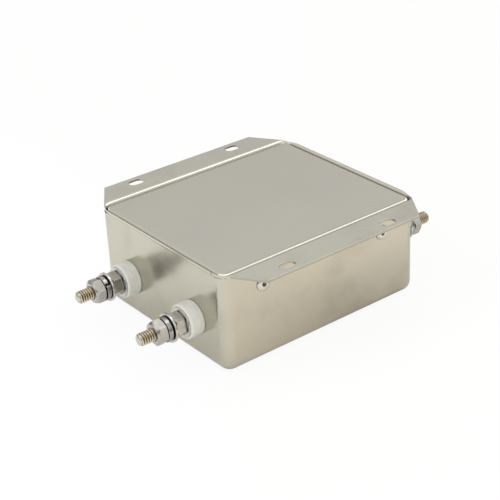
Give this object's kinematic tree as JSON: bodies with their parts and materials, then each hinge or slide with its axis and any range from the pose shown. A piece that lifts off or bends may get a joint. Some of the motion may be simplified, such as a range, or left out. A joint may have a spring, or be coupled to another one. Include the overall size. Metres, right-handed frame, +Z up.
{
  "type": "emi line filter",
  "caption": "Power line interference filter in a drawn metal can with slotted flanges, a riveted cover and insulated threaded studs at both ends.",
  "frame": {"origin": "middle of the can's closed face, which the part rests on", "axes": "+X along the studs from the line end to the load end, +Y from flange a to flange b, +Z up from the closed face to the flanges"},
  "size_m": [0.184, 0.132, 0.052],
  "materials": {
    "can_plating": "dull tin-like plating on drawn sheet, faintly warm",
    "cover_plating": "dull plating on flat sheet",
    "rivet_plating": "satin plating",
    "stud_brass": "bare cut threads, slightly dull",
    "bush_cream": "cream moulded insulator with fine turned rings",
    "nut_plating": "bright nickel-like plating",
    "washer_plating": "bright plating",
    "spring_plating": "plated spring steel",
    "strap_metal": "tinned strip",
    "board_laminate": "green laminate",
    "post_steel": "plain plated steel",
    "spacer_plastic": "natural moulded plastic",
    "core_coating": "dark coated ring core",
    "winding_enamel": "enamelled copper wire",
    "film_case": "yellow moulded case",
    "disc_coating": "blue dipped coating",
    "resistor_coating": "tan lacquer"
  },
  "bodies": {
    "root": {"housing_can": "can_plating", "cover_plate": "cover_plating", "cover_rivets": "rivet_plating", "terminal_stud_line_a": "stud_brass", "outer_bush_line_a": "bush_cream", "inner_bush_line_a": "bush_cream", "bus_strap_line_a": "strap_metal", "terminal_stud_line_b": "stud_brass", "outer_bush_line_b": "bush_cream", "inner_bush_line_b": "bush_cream", "bus_strap_line_b": "strap_metal", "terminal_stud_load_a": "stud_brass", "outer_bush_load_a": "bush_cream", "inner_bush_load_a": "bush_cream", "bus_strap_load_a": "strap_metal", "terminal_stud_load_b": "stud_brass", "outer_bush_load_b": "bush_cream", "inner_bush_load_b": "bush_cream", "bus_strap_load_b": "strap_metal", "clamp_washers": "washer_plating", "clamp_nuts": "nut_plating", "contact_washers": "washer_plating", "spring_washers": "spring_plating", "terminal_nuts": "nut_plating", "inner_washers": "washer_plating", "inner_nuts": "nut_plating", "component_board": "board_laminate", "board_posts": "post_steel", "board_spacers": "spacer_plastic", "board_nuts": "post_steel", "choke_core_line": "core_coating", "choke_winding_line_a": "winding_enamel", "choke_winding_line_b": "winding_enamel", "film_capacitor_line": "film_case", "disc_capacitor_line_a": "disc_coating", "disc_capacitor_line_b": "disc_coating", "choke_core_load": "core_coating", "choke_winding_load_a": "winding_enamel", "choke_winding_load_b": "winding_enamel", "film_capacitor_load": "film_case", "disc_capacitor_load_a": "disc_coating", "disc_capacitor_load_b": "disc_coating", "bleed_resistor": "resistor_coating"}
  },
  "joints": []
}
